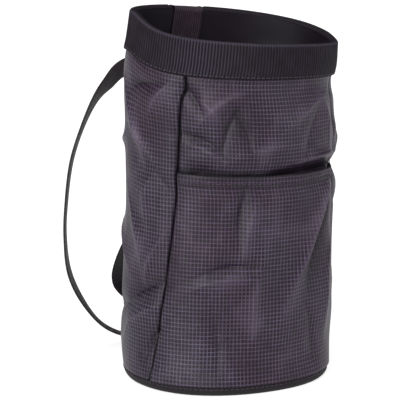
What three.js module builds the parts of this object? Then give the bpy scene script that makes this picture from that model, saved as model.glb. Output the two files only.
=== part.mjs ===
// Climbing chalk bag: a soft cloth bucket that slumps a little to one side, with a webbing rim, a front
// pocket as wide as its front, a smooth lining, a loop on its left back and a waist belt hung behind it.
// Millimetres, +Z up. The front faces -Y, and the origin is the middle of the underside, on the ground.
import * as THREE from "three";

// The bag's form
const bagHeight = 235.4; // ground to the middle of the mouth
const bagHalfWidth = 72;
const bagHalfDepth = 63;
const mouthFallX = 0.112; // the mouth falls this much for each mm towards +X
const mouthRiseY = 0.108; // and rises this much for each mm towards +Y
const slumpPower = 2; // how fast the slope of the mouth grows from the level bottom
const waveStart = 0.7; // share of the height above which the waves of the mouth's edge begin

// Cloth and the clear space between layers
const clothWall = 1.1;
const liningWall = 1;
const layerGap = 0.9; // shell to lining
const pieceGap = 0.3; // between any two pieces that touch on the real bag

// Bottom
const cornerRadius = 4;
const spreadFade = 30; // height over which the bottom's uneven spread dies out
const bottomTurnUp = 6.5; // height of the bottom cloth's turned-up edge

// Rim webbing
const bandHeight = 24;
const bandWall = 1.4;
const bandLip = 1.2; // thickness of the turned-over top edge

// Pocket
const mouthShare = 0.626; // height of the pocket's mouth, as a share of the bag's height
const pocketSink = 2.5; // how far the front sinks in behind the pocket's mouth
const pocketGape = 0.8; // how far the pocket's mouth stands open beyond that
const sinkFade = 11; // height over which the front comes back out above the mouth
const sinkAtBottom = 0.25; // share of pocketSink that is left at the bottom's edge
const hemHeight = 7;
const hemExtra = 0.5; // the hem's extra thickness

// Seams and folds
const seamPinch = 1.5;
const seamReach = 5.5;
const foldDepth = 3;
const foldFade = 14; // height over which folds die out above the bottom's edge and below the rim

// Back strap: one strip inside the mouth, over the rim and down to below the belt
const strapWidth = 21;
const strapWall = 1.2;
const strapAngle = 192.5; // degrees round from the middle of the front, by the right side
const strapInside = 42; // how far it reaches down inside the mouth
const strapSewn = 13; // length sewn to the back below the belt
const strapStep = 6; // height in which it comes in from over the belt to the back

// Side loop
const loopWidth = 20;
const loopWall = 1.2;
const loopAngle = 229;
const loopStandOff = 10.4;
const loopTopHeight = 90; // height of the upper sewn end
const loopBottomHeight = 46; // height of the lower sewn end

// Belt and buckle
const beltWidth = 15;
const beltWall = 1.4;
const beltBelowRim = 31.9; // from the middle of the mouth down to the belt's middle behind the bag
const beltClear = 1.1; // from the back of the bag to the belt's middle height
const beltPlay = 1.4; // from the belt to the strap that holds it
const hoopHalfWidth = 90;
const hoopBack = 74; // from the bag's middle to the belt's middle behind it
const buckleLength = 34;
const buckleWidth = 22;
const buckleHeight = 8;
const buckleCentre = 38; // from the middle of the bag, towards +X
const buckleCorner = 4;
const straightAtBuckle = 4; // the belt runs straight this far from the buckle's ends

// How finely the cloth is divided
const frontColumns = 18;
const backColumns = 26;
const lowerRows = 8; // from the bottom's edge to below the pocket's mouth
const upperRows = 5; // from above the pocket's mouth to the rim
const liningLowerRows = 6;
const liningUpperRows = 4;
const cornerSteps = 3;
const strapColumns = 4;
const loopColumns = 3;
const beltStepsPerPoint = 3;
const buckleCornerSteps = 3;

// Sections of the bag. up: share of the height; wide and deep: half sizes as shares of bagHalfWidth
// and bagHalfDepth; lean: shift of the section's middle towards +X, as a share of bagHalfWidth.
const sections = [
  { up: 0.0, wide: 0.99, deep: 1.006, lean: 0.0 },
  { up: 0.04, wide: 0.998, deep: 1.003, lean: -0.004 },
  { up: 0.1, wide: 1.002, deep: 0.997, lean: 0.004 },
  { up: 0.2, wide: 1.014, deep: 0.982, lean: 0.022 },
  { up: 0.32, wide: 1.0, deep: 0.962, lean: 0.03 },
  { up: 0.45, wide: 0.993, deep: 0.936, lean: 0.05 },
  { up: 0.56, wide: 0.993, deep: 0.92, lean: 0.06 },
  { up: 0.605, wide: 0.98, deep: 0.903, lean: 0.046 },
  { up: 0.66, wide: 0.99, deep: 0.903, lean: 0.06 },
  { up: 0.72, wide: 0.99, deep: 0.903, lean: 0.06 },
  { up: 0.81, wide: 0.988, deep: 0.896, lean: 0.052 },
  { up: 0.88, wide: 0.972, deep: 0.876, lean: 0.042 },
  { up: 0.93, wide: 0.97, deep: 0.862, lean: 0.075 },
  { up: 1.0, wide: 0.958, deep: 0.839, lean: 0.1 },
];

// Seams between the front and the rest, in degrees from the middle of the front at each height.
const seams = [
  { up: 0.0, left: -63.5, right: 69 },
  { up: 0.1, left: -61, right: 67 },
  { up: 0.26, left: -55.5, right: 62 },
  { up: 0.41, left: -52, right: 57 },
  { up: 0.56, left: -48.6, right: 56 },
  { up: 0.7, left: -46.6, right: 60 },
  { up: 0.9, left: -42.4, right: 60 },
  { up: 1.0, left: -41, right: 59 },
];

// How far the bottom spreads past its oval where the cloth bulges out over the ground. at: degrees from the
// middle of the front; out: share of bagHalfWidth.
const footSpread = [
  { at: -180, out: 0.0 },
  { at: -118, out: -0.035 },
  { at: -75, out: 0.01 },
  { at: -45, out: 0.035 },
  { at: 0, out: 0.03 },
  { at: 33, out: 0.06 },
  { at: 50, out: 0.04 },
  { at: 68, out: -0.015 },
  { at: 90, out: -0.03 },
  { at: 180, out: 0.0 },
];

// Waves of the mouth's edge above and below its even slope. at: degrees from the middle of the front;
// rise: share of bandHeight.
const mouthWaves = [
  { at: -180, rise: -0.03 },
  { at: -155, rise: 0 },
  { at: -135, rise: 0.03 },
  { at: -108, rise: 0.1 },
  { at: -88, rise: 0.17 },
  { at: -68, rise: -0.03 },
  { at: -50, rise: -0.085 },
  { at: -10, rise: -0.01 },
  { at: 25, rise: 0.02 },
  { at: 60, rise: -0.07 },
  { at: 77, rise: -0.15 },
  { at: 98, rise: -0.09 },
  { at: 125, rise: -0.035 },
  { at: 180, rise: -0.03 },
];

// Main folds and dents. at: degrees from the middle of the front; up: share of the height; turn: degrees
// of the fold's line from upright, leaning to +X; long and broad: shares of bagHalfWidth; deep: share of
// foldDepth, outward positive.
const folds = [
  { at: -58, up: 0.873, turn: 80, long: 0.3, broad: 0.07, deep: -0.6 }, // crease under the rim, left side
  { at: -76, up: 0.635, turn: 128, long: 0.5, broad: 0.13, deep: -0.5 }, // slanting dent, left side
  { at: -68, up: 0.56, turn: 5, long: 0.3, broad: 0.12, deep: 0.4 }, // soft ridge, left side
  { at: -70, up: 0.3, turn: 62, long: 0.45, broad: 0.13, deep: -0.5 }, // low slanting dent, left side
  { at: -38, up: 0.842, turn: 140, long: 0.25, broad: 0.08, deep: -0.6 }, // crease by the left seam
  { at: -26, up: 0.85, turn: 50, long: 0.4, broad: 0.1, deep: 0.45 }, // arched ridge under the rim
  { at: -35, up: 0.705, turn: 110, long: 0.3, broad: 0.09, deep: -0.45 }, // short fold by the left seam
  { at: -16, up: 0.75, turn: 12, long: 0.5, broad: 0.1, deep: -0.4 }, // peak of the upper front's folds
  { at: 14, up: 0.76, turn: -8, long: 0.6, broad: 0.3, deep: 0.5 }, // full part of the upper front
  { at: 62, up: 0.72, turn: 80, long: 0.35, broad: 0.12, deep: 0.6 }, // bulge above the mouth, right side
  { at: 66, up: 0.612, turn: 90, long: 0.35, broad: 0.06, deep: -0.65 }, // pinch level with the mouth
  { at: 72, up: 0.545, turn: 85, long: 0.35, broad: 0.12, deep: 0.4 }, // bulge below it
  { at: -112, up: 0.77, turn: 0, long: 0.8, broad: 0.3, deep: 0.25 }, // full part of the left back
  { at: -13, up: 0.5, turn: 9, long: 0.6, broad: 0.08, deep: -0.5 }, // upright crease in the pocket
  { at: -18, up: 0.355, turn: 82, long: 0.4, broad: 0.1, deep: -0.6 }, // level dent in the pocket
  { at: -16, up: 0.19, turn: 0, long: 0.7, broad: 0.3, deep: -0.7 }, // broad hollow low in the pocket
  { at: 28, up: 0.43, turn: 28, long: 1.0, broad: 0.1, deep: 0.6 }, // long slanting ridge in the pocket
  { at: 36, up: 0.36, turn: 26, long: 0.7, broad: 0.11, deep: -0.5 }, // dent along that ridge
  { at: 42, up: 0.2, turn: 2, long: 0.6, broad: 0.14, deep: 0.5 }, // upright ridge near the right seam
];

// The belt's route outside the bag. out: share of hoopHalfWidth, +X positive; high: share of beltHigh;
// back: 0 at the back of the bag's middle, 1 at hoopBack; twist: 0 upright, 1 a quarter turn, lying flat.
const beltLeft = [
  { out: -0.42, high: 0.997, back: 0.02, twist: 0.12 },
  { out: -0.58, high: 0.98, back: 0.08, twist: 0.29 },
  { out: -0.678, high: 0.93, back: 0.3, twist: 0.42 },
  { out: -0.755, high: 0.88, back: 0.55, twist: 0.575 },
  { out: -0.84, high: 0.794, back: 0.8, twist: 0.67 },
  { out: -0.931, high: 0.668, back: 0.97, twist: 0.7 },
  { out: -0.982, high: 0.511, back: 1, twist: 0.73 },
  { out: -0.994, high: 0.407, back: 1, twist: 0.745 },
  { out: -0.966, high: 0.28, back: 1, twist: 0.735 },
  { out: -0.865, high: 0.174, back: 1, twist: 0.8 },
  { out: -0.7, high: 0.078, back: 1, twist: 0.93 },
  { out: -0.5, high: 0.03, back: 1, twist: 1.03 },
  { out: -0.25, high: 0.011, back: 1, twist: 1 },
  { out: 0.02, high: 0.011, back: 1, twist: 1 },
];
const beltRight = [
  { out: 0.76, high: 0.07, back: 1, twist: 1 },
  { out: 0.9, high: 0.165, back: 1, twist: 1 },
  { out: 0.98, high: 0.3, back: 1, twist: 1 },
  { out: 1, high: 0.44, back: 1, twist: 1 },
  { out: 0.965, high: 0.6, back: 1, twist: 1 },
  { out: 0.88, high: 0.75, back: 0.85, twist: 0.85 },
  { out: 0.78, high: 0.87, back: 0.55, twist: 0.6 },
  { out: 0.66, high: 0.95, back: 0.25, twist: 0.3 },
  { out: 0.5, high: 0.99, back: 0.04, twist: 0.1 },
];

// Where the belt lies against the back of the bag, in degrees round from the middle of the front.
const beltBackAngles = [160, 175, 190, 203];

// How the side loop stands off from the bag between its sewn ends. down: from the upper end to the lower,
// as a share of their distance; off: share of loopStandOff.
const loopBow = [
  { down: -0.14, off: 0 },
  { down: 0, off: 0 },
  { down: 0.16, off: 0.3 },
  { down: 0.36, off: 0.68 },
  { down: 0.56, off: 0.95 },
  { down: 0.7, off: 1 },
  { down: 0.83, off: 0.82 },
  { down: 0.93, off: 0.4 },
  { down: 1, off: 0 },
  { down: 1.14, off: 0 },
];

// Heights and offsets that follow from the sizes above
const beltHigh = bagHeight - beltBelowRim; // height of the belt's middle where it passes the back
const degree = Math.PI / 180;
const fullTurn = 2 * Math.PI;
const clothStart = (bottomTurnUp + pieceGap) / bagHeight;
const clothEnd = 1 - (bandLip + pieceGap) / bagHeight;
const bandLow = 1 - bandHeight / bagHeight;
const bandInside = pieceGap;
const bandOutside = bandInside + bandWall;
const liningOutside = -(clothWall + layerGap);
const liningInside = liningOutside - liningWall;
const strapOverBelt = Math.max(beltClear + beltWall + beltPlay, bandOutside + pieceGap);

// A value of a table on a smooth curve through its rows, at one value of its first column.
function tableValue(table, column, place, placeColumn = "up") {
  const last = table.length - 1;
  let row = 0;
  while (row < last - 1 && place > table[row + 1][placeColumn]) row += 1;
  const slope = (i) => {
    const low = table[Math.max(i - 1, 0)];
    const high = table[Math.min(i + 1, last)];
    return (high[column] - low[column]) / (high[placeColumn] - low[placeColumn]);
  };
  const span = table[row + 1][placeColumn] - table[row][placeColumn];
  const t = THREE.MathUtils.clamp((place - table[row][placeColumn]) / span, 0, 1);
  const rise = table[row + 1][column] - table[row][column];
  const bend = (1 - t) * (slope(row) * span - rise) - t * (slope(row + 1) * span - rise);
  return table[row][column] + t * rise + t * (1 - t) * bend;
}

// An angle brought to between half a turn either way.
const nearFront = (angle) => THREE.MathUtils.euclideanModulo(angle + Math.PI, fullTurn) - Math.PI;
const leftSeam = (up) => tableValue(seams, "left", up) * degree;
const rightSeam = (up) => tableValue(seams, "right", up) * degree;
const hump = (distance, reach) => Math.exp(-((distance / reach) ** 2));

// 1 in the open cloth, 0 at the bottom's edge and under the rim, where the cloth is held in form.
function freedom(up) {
  const fromBottom = (up * bagHeight - bottomTurnUp) / foldFade;
  const fromBand = ((bandLow - up) * bagHeight) / foldFade;
  return THREE.MathUtils.smoothstep(Math.min(fromBottom, fromBand), 0, 1);
}

// Folds and seam pinches, which every layer shares.
function foldRelief(angle, up) {
  let relief = 0;
  for (const fold of folds) {
    const x = nearFront(angle - fold.at * degree) * bagHalfWidth;
    const z = (up - fold.up) * bagHeight;
    const along = x * Math.sin(fold.turn * degree) + z * Math.cos(fold.turn * degree);
    const aside = x * Math.cos(fold.turn * degree) - z * Math.sin(fold.turn * degree);
    const size = hump(along, (fold.long * bagHalfWidth) / 2) * hump(aside, fold.broad * bagHalfWidth);
    relief += fold.deep * foldDepth * size;
  }
  for (const seam of [leftSeam(up), rightSeam(up)]) {
    relief -= seamPinch * hump(nearFront(angle - seam) * bagHalfWidth, seamReach);
  }
  return relief * freedom(up);
}

// 0 at the front's two seams and all round the back, 1 in the middle of the front.
function frontShare(angle, up) {
  const share = (angle - leftSeam(up)) / (rightSeam(up) - leftSeam(up));
  return share > 0 && share < 1 ? Math.sqrt(Math.sin(Math.PI * share)) : 0;
}

// How far the front, and the lining behind it, sink in behind the pocket.
function sinkRelief(angle, up) {
  const below = THREE.MathUtils.smoothstep(up, clothStart, mouthShare);
  const above = 1 - THREE.MathUtils.smoothstep((up - mouthShare) * bagHeight, 0, sinkFade);
  const share = Math.min(THREE.MathUtils.lerp(sinkAtBottom, 1, below), above);
  return -pocketSink * frontShare(angle, up) * share * freedom(up);
}

// How far the cloth near the bottom stands out past its oval.
function spreadRelief(angle, up) {
  const share = 1 - THREE.MathUtils.smoothstep(up * bagHeight, 0, spreadFade);
  return share * bagHalfWidth * tableValue(footSpread, "out", nearFront(angle) / degree, "at");
}

// How far the mouth's edge, and the cloth near it, rises above its even slope.
function waveRise(angle, up) {
  const share = THREE.MathUtils.smoothstep(up, waveStart, bandLow);
  return share * bandHeight * tableValue(mouthWaves, "rise", nearFront(angle) / degree, "at");
}

// A point of the bag: angle from the middle of the front towards +X, share of the height, distance
// outward from the outer cloth, and whether the layer sinks in behind the pocket.
function bagPoint(angle, up, outset, sinks = true) {
  const halfWidth = bagHalfWidth * tableValue(sections, "wide", up);
  const halfDepth = bagHalfDepth * tableValue(sections, "deep", up);
  const x = halfWidth * Math.sin(angle);
  const y = -halfDepth * Math.cos(angle);
  const outward = new THREE.Vector2(Math.sin(angle) / halfWidth, -Math.cos(angle) / halfDepth).normalize();
  const relief = foldRelief(angle, up) + spreadRelief(angle, up) + (sinks ? sinkRelief(angle, up) : 0);
  const push = outset + relief;
  const slope = Math.pow(Math.max(up, 0), slumpPower);
  const lean = bagHalfWidth * tableValue(sections, "lean", up);
  const height = bagHeight * up + slope * (mouthRiseY * y - mouthFallX * x) + waveRise(angle, up);
  return new THREE.Vector3(lean + x + outward.x * push, y + outward.y * push, height);
}

// A closed solid from a row of stations, each a closed outline of the same number of points. Stations
// either run round to the first again or end in two caps. Points on the bag's middle line are shared.
function stationSolid(stations, runsRound, middlePoints = []) {
  const outlineCount = stations[0].length;
  const positions = [];
  const numberOf = stations.map((outline, s) =>
    outline.map((point, p) => {
      if (middlePoints.includes(p) && s > 0) return null;
      positions.push(point.x, point.y, point.z);
      return positions.length / 3 - 1;
    })
  );
  const vertex = (s, p) => numberOf[middlePoints.includes(p) ? 0 : s][p];
  const triangles = [];
  const addTriangle = (a, b, c) => {
    if (a !== b && b !== c && c !== a) triangles.push(a, b, c);
  };
  const addQuad = (a, b, c, d) => {
    addTriangle(a, b, c);
    addTriangle(a, c, d);
  };
  // Layers that lie on each other are cut along the same diagonals, whichever way their outlines run.
  const spans = runsRound ? stations.length : stations.length - 1;
  for (let s = 0; s < spans; s += 1) {
    const t = (s + 1) % stations.length;
    for (let p = 0; p < outlineCount; p += 1) {
      const q = (p + 1) % outlineCount;
      if (stations[s][p].z <= stations[s][q].z) {
        addQuad(vertex(s, p), vertex(t, p), vertex(t, q), vertex(s, q));
      } else {
        addQuad(vertex(t, p), vertex(t, q), vertex(s, q), vertex(s, p));
      }
    }
  }
  if (!runsRound) {
    const end = stations.length - 1;
    for (let p = 0; p < outlineCount / 2 - 1; p += 1) {
      const q = outlineCount - 1 - p;
      addQuad(vertex(0, p), vertex(0, p + 1), vertex(0, q - 1), vertex(0, q));
      addQuad(vertex(end, q), vertex(end, q - 1), vertex(end, p + 1), vertex(end, p));
    }
  }
  return closedGeometry(positions, triangles);
}

// The geometry with every face turned outward.
function closedGeometry(positions, triangles) {
  const corner = (i) => new THREE.Vector3().fromArray(positions, 3 * triangles[i]);
  let volume = 0;
  for (let i = 0; i < triangles.length; i += 3) {
    volume += corner(i).dot(corner(i + 1).cross(corner(i + 2)));
  }
  const faces = volume < 0 ? triangles.toReversed() : triangles;
  const geometry = new THREE.BufferGeometry();
  geometry.setAttribute("position", new THREE.Float32BufferAttribute(positions, 3));
  geometry.setIndex(faces);
  geometry.computeVertexNormals();
  return geometry;
}

// Shares of the height at which a layer has its rows, close together at the pocket's mouth.
function clothRows(below, above) {
  const nearMouth = [-sinkFade / 2, 0, sinkFade / 2, sinkFade].map((step) => mouthShare + step / bagHeight);
  const rows = [];
  for (let i = 0; i < below; i += 1) rows.push(THREE.MathUtils.lerp(clothStart, nearMouth[0], i / below));
  rows.push(...nearMouth);
  for (let i = 1; i <= above; i += 1) rows.push(THREE.MathUtils.lerp(nearMouth[3], bandLow, i / above));
  rows.push(clothEnd);
  return rows;
}

// Angles of a panel's columns at one height, clear of its seams by half a gap at each side.
function panelColumns(up, isFront, edgeGap) {
  const from = isFront ? leftSeam(up) : rightSeam(up);
  const to = isFront ? rightSeam(up) : leftSeam(up) + fullTurn;
  const inset = edgeGap / 2 / bagHalfDepth;
  const count = isFront ? frontColumns : backColumns;
  const shares = Array.from({ length: count + 1 }, (_, i) => i / count);
  return shares.map((share) => THREE.MathUtils.lerp(from + inset, to - inset, share));
}

// Angles of a whole ring at one height, on the same columns as the panels.
function ringColumns(up) {
  return [...panelColumns(up, true, 0).slice(0, -1), ...panelColumns(up, false, 0).slice(0, -1)];
}

// A cloth wall between the seams, its outer face at outset(angle, up) from the bag's outer cloth.
function clothPanel({ isFront, rows, outset, wall, sinks }) {
  const columns = rows.map((up) => panelColumns(up, isFront, 2 * pieceGap));
  const stations = columns[0].map((_, c) => {
    const outer = rows.map((up, r) => bagPoint(columns[r][c], up, outset(columns[r][c], up), sinks));
    const inner = rows.map((up, r) =>
      bagPoint(columns[r][c], up, outset(columns[r][c], up) - wall(up), sinks)
    );
    return [...outer, ...inner.reverse()];
  });
  return stationSolid(stations, false);
}

// A ring round the whole bag from an outline of { up, outset }, or of { up, inward } where inward is the
// share of the way in to the middle line.
function bagRing(outline) {
  const columns = outline.map(({ up }) => ringColumns(up));
  const stations = columns[0].map((_, c) =>
    outline.map(({ up, outset = 0, inward = 0 }, p) => {
      const middle = new THREE.Vector3(bagHalfWidth * tableValue(sections, "lean", up), 0, bagHeight * up);
      return bagPoint(columns[p][c], up, outset).lerp(middle, inward);
    })
  );
  const middlePoints = outline.map(({ inward }, p) => (inward === 1 ? p : -1)).filter((p) => p >= 0);
  return stationSolid(stations, true, middlePoints);
}

// Rounded lower corner of a layer: quarter circle about the corner's own centre, from below outward.
function cornerOutline(radius, steps) {
  return Array.from({ length: steps + 1 }, (_, i) => {
    const turn = (i / steps) * (Math.PI / 2);
    return {
      up: (cornerRadius - radius * Math.cos(turn)) / bagHeight,
      outset: radius * Math.sin(turn) - cornerRadius,
    };
  });
}

const shellRows = clothRows(lowerRows, upperRows);
const liningRows = clothRows(liningLowerRows, liningUpperRows);

const plainOutset = () => 0;
const plainWall = () => clothWall;

function frontPanel() {
  return clothPanel({ isFront: true, rows: shellRows, outset: plainOutset, wall: plainWall, sinks: true });
}

function backPanel() {
  return clothPanel({ isFront: false, rows: shellRows, outset: plainOutset, wall: plainWall, sinks: false });
}

function pocketPanel() {
  const hemShare = hemHeight / bagHeight;
  const rows = [...shellRows.filter((up) => up < mouthShare - hemShare), mouthShare - hemShare, mouthShare];
  const inHem = (up) => (up > mouthShare - hemShare / 2 ? hemExtra : 0);
  const outset = (angle, up) => {
    const open = THREE.MathUtils.smoothstep(up, mouthShare / 2, mouthShare);
    return pieceGap + clothWall + inHem(up) + pocketGape * open * frontShare(angle, up);
  };
  return clothPanel({ isFront: true, rows, outset, wall: (up) => clothWall + inHem(up), sinks: false });
}

function basePanel() {
  const top = bottomTurnUp / bagHeight;
  const outer = cornerOutline(cornerRadius, cornerSteps);
  const inner = cornerOutline(cornerRadius - clothWall, cornerSteps).reverse();
  return bagRing([
    { up: 0, inward: 1 },
    ...outer,
    { up: top, outset: 0 },
    { up: top, outset: -clothWall },
    ...inner,
    { up: clothWall / bagHeight, inward: 1 },
  ]);
}

function lining() {
  const outer = cornerOutline(cornerRadius + liningOutside, cornerSteps - 1);
  const inner = cornerOutline(cornerRadius + liningInside, cornerSteps - 1).reverse();
  return bagRing([
    { up: outer[0].up, inward: 1 },
    ...outer,
    ...liningRows.map((up) => ({ up, outset: liningOutside })),
    ...liningRows.map((up) => ({ up, outset: liningInside })).reverse(),
    ...inner,
    { up: inner.at(-1).up, inward: 1 },
  ]);
}

function rimBand() {
  const rounding = bandLip / 2;
  const lipUnder = 1 - bandLip / bagHeight;
  return bagRing([
    { up: bandLow, outset: bandOutside },
    { up: 1 - rounding / bagHeight, outset: bandOutside },
    { up: 1, outset: bandOutside - rounding },
    { up: 1, outset: liningInside + rounding },
    { up: 1 - rounding / bagHeight, outset: liningInside },
    { up: lipUnder, outset: liningInside },
    { up: lipUnder, outset: bandInside },
    { up: bandLow, outset: bandInside },
  ]);
}

// A strip of webbing that runs up and down the bag, from the outline of its face that looks at the bag.
function uprightStrip({ path, wall, angle, width, columns }) {
  const halfAngle = width / 2 / bagHalfDepth;
  return stationSolid(
    Array.from({ length: columns + 1 }, (_, i) => {
      const around = angle * degree + THREE.MathUtils.lerp(-halfAngle, halfAngle, i / columns);
      const near = path.map(({ up, outset }) => bagPoint(around, up, outset));
      const far = path.map((_, p) => {
        const before = path[Math.max(p - 1, 0)];
        const after = path[Math.min(p + 1, path.length - 1)];
        const rise = (after.up - before.up) * bagHeight;
        const out = after.outset - before.outset;
        const length = Math.hypot(rise, out);
        const thickness = wall * mitre(path, p);
        const up = path[p].up + (thickness * out) / length / bagHeight;
        return bagPoint(around, up, path[p].outset - (thickness * rise) / length);
      });
      return [...near, ...far.reverse()];
    }),
    false
  );
}

// How much longer the wall's line is at a corner of a strip's path than square across it.
function mitre(path, p) {
  if (p === 0 || p === path.length - 1) return 1;
  const direction = (from, to) =>
    new THREE.Vector2(to.outset - from.outset, (to.up - from.up) * bagHeight).normalize();
  const turn = direction(path[p - 1], path[p]).angleTo(direction(path[p], path[p + 1]));
  return 1 / Math.cos(turn / 2);
}

function backStrap() {
  const overTop = 1 + pieceGap / bagHeight;
  const belowBelt = (beltHigh - mouthRiseY * bagHalfDepth - beltWidth / 2 - beltPlay) / bagHeight;
  const sewnTop = belowBelt - strapStep / bagHeight;
  const path = [
    { up: 1 - strapInside / bagHeight, outset: liningInside - pieceGap },
    { up: overTop, outset: liningInside - pieceGap },
    { up: overTop, outset: strapOverBelt },
    { up: belowBelt, outset: strapOverBelt },
    { up: sewnTop, outset: pieceGap },
    { up: sewnTop - strapSewn / bagHeight, outset: pieceGap },
  ];
  return uprightStrip({ path, wall: strapWall, angle: strapAngle, width: strapWidth, columns: strapColumns });
}

function sideLoop() {
  const tall = loopTopHeight - loopBottomHeight;
  const path = loopBow.map(({ down, off }) => ({
    up: (loopTopHeight - down * tall) / bagHeight,
    outset: pieceGap + off * (loopStandOff - loopWall - pieceGap),
  }));
  return uprightStrip({ path, wall: loopWall, angle: loopAngle, width: loopWidth, columns: loopColumns });
}

// The belt's points with the twist of its width at each, from the buckle's right end to its left end.
function beltRoute() {
  const backY = bagPoint(Math.PI, beltHigh / bagHeight, beltClear + beltWall / 2).y;
  const place = ({ out, high, back, twist }) => {
    const y = THREE.MathUtils.lerp(backY, hoopBack, back);
    return { point: new THREE.Vector3(out * hoopHalfWidth, y, high * beltHigh), twist };
  };
  const backShare = (beltHigh - mouthRiseY * bagHalfDepth) / bagHeight;
  const onBack = beltBackAngles.map((turn) => ({
    point: bagPoint(turn * degree, backShare, beltClear + beltWall / 2).setZ(beltHigh),
    twist: 0,
  }));
  const beside = (end, away) => ({
    point: new THREE.Vector3(
      buckleCentre + end * (buckleLength / 2 + away),
      hoopBack,
      buckleHeight / 2 + pieceGap
    ),
    twist: 1,
  });
  return [
    beside(1, pieceGap),
    beside(1, straightAtBuckle),
    ...beltRight.map(place),
    ...onBack,
    ...beltLeft.map(place),
    beside(-1, straightAtBuckle),
    beside(-1, pieceGap),
  ];
}

function belt() {
  const route = beltRoute();
  const curve = new THREE.CatmullRomCurve3(route.map(({ point }) => point), false, "centripetal");
  const steps = (route.length - 1) * beltStepsPerPoint;
  const back = new THREE.Vector3(0, 1, 0);
  return stationSolid(
    Array.from({ length: steps + 1 }, (_, i) => {
      const t = i / steps;
      const before = Math.min(Math.floor(i / beltStepsPerPoint), route.length - 2);
      const between = i / beltStepsPerPoint - before;
      const twist = THREE.MathUtils.lerp(route[before].twist, route[before + 1].twist, between);
      const turn = (twist * Math.PI) / 2;
      const ahead = curve.getTangent(t);
      const upright = new THREE.Vector3().crossVectors(ahead, back).normalize();
      const flat = new THREE.Vector3().crossVectors(upright, ahead);
      const across = upright.multiplyScalar(Math.cos(turn)).addScaledVector(flat, Math.sin(turn));
      const through = new THREE.Vector3().crossVectors(ahead, across);
      const middle = curve.getPoint(t);
      const corner = (a, b) =>
        middle
          .clone()
          .addScaledVector(across, (a * beltWidth) / 2)
          .addScaledVector(through, (b * beltWall) / 2);
      return [corner(-1, 1), corner(1, 1), corner(1, -1), corner(-1, -1)];
    }),
    false
  );
}

function buckle() {
  const right = buckleLength / 2 - buckleCorner;
  const upper = buckleWidth / 2 - buckleCorner;
  const outline = new THREE.Shape();
  outline.absarc(right, upper, buckleCorner, 0, Math.PI / 2);
  outline.absarc(-right, upper, buckleCorner, Math.PI / 2, Math.PI);
  outline.absarc(-right, -upper, buckleCorner, Math.PI, 1.5 * Math.PI);
  outline.absarc(right, -upper, buckleCorner, 1.5 * Math.PI, fullTurn);
  const geometry = new THREE.ExtrudeGeometry(outline, {
    depth: buckleHeight,
    bevelEnabled: false,
    curveSegments: buckleCornerSteps,
  });
  return geometry.translate(buckleCentre, hoopBack, pieceGap);
}

const bag = new THREE.Group();

function addPiece(name, geometry, color, roughness) {
  const material = new THREE.MeshStandardMaterial({ color, roughness, metalness: 0 });
  const mesh = new THREE.Mesh(geometry, material);
  mesh.name = name;
  bag.add(mesh);
}

// Colour and roughness of each cloth, webbing and plastic
const ripstop = ["#463e49", 0.62];
const baseCloth = ["#2c282c", 0.75];
const rimWebbing = ["#2b222d", 0.7];
const liningCloth = ["#241f27", 0.55];
const strapWebbing = ["#302931", 0.72];
const beltWebbing = ["#383235", 0.7];
const mouldedPlastic = ["#1d1b1e", 0.45];

addPiece("front_panel", frontPanel(), ...ripstop);
addPiece("back_panel", backPanel(), ...ripstop);
addPiece("pocket_panel", pocketPanel(), ...ripstop);
addPiece("base_panel", basePanel(), ...baseCloth);
addPiece("rim_band", rimBand(), ...rimWebbing);
addPiece("lining", lining(), ...liningCloth);
addPiece("back_strap", backStrap(), ...strapWebbing);
addPiece("side_loop", sideLoop(), ...strapWebbing);
addPiece("belt", belt(), ...beltWebbing);
addPiece("buckle", buckle(), ...mouldedPlastic);

export default bag;
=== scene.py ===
# Climbing chalk bag, dressed: ripstop cloth panels, webbing rim, front pocket, lining, tab, loop and belt.
import math

import bmesh
import bpy
import numpy as np
from mathutils import Matrix, Vector, noise


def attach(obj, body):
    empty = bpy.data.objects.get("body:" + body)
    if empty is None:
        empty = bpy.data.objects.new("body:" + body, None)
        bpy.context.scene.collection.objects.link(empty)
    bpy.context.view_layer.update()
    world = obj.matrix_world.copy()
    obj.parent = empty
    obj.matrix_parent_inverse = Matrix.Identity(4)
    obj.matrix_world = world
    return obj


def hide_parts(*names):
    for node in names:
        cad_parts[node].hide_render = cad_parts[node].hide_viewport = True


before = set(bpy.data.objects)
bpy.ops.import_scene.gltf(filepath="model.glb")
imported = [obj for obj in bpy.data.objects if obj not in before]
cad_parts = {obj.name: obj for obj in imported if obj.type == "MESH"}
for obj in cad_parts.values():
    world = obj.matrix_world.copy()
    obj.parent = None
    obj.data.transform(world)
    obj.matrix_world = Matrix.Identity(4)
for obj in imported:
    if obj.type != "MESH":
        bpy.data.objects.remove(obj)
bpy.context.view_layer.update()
mm = 0.001
print("frame loaded:", len(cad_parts), "nodes")


def linear(hexColour):
    shares = [int(hexColour[i:i + 2], 16) / 255 for i in (1, 3, 5)]
    return [c / 12.92 if c <= 0.04045 else ((c + 0.055) / 1.055) ** 2.4 for c in shares] + [1]


def asColumns(names, rows):
    return dict(zip(names, np.array(rows, float).T))


# The bag's form, in millimetres and shares, as the construction has it
form = {
    "height": 235.4,
    "halfWidth": 72,
    "halfDepth": 63,
    "mouthFallX": 0.112,
    "mouthRiseY": 0.108,
    "slumpPower": 2,
    "waveStart": 0.7,
    "cornerRadius": 4,
    "spreadFade": 30,
    "bottomTurnUp": 6.5,
    "bandHeight": 24,
    "bandLip": 1.2,
    "mouthShare": 0.626,
    "seamPinch": 1.5,
    "seamReach": 5.5,
    "foldDepth": 3,
    "foldFade": 14,
    "pieceGap": 0.3,
}

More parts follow.
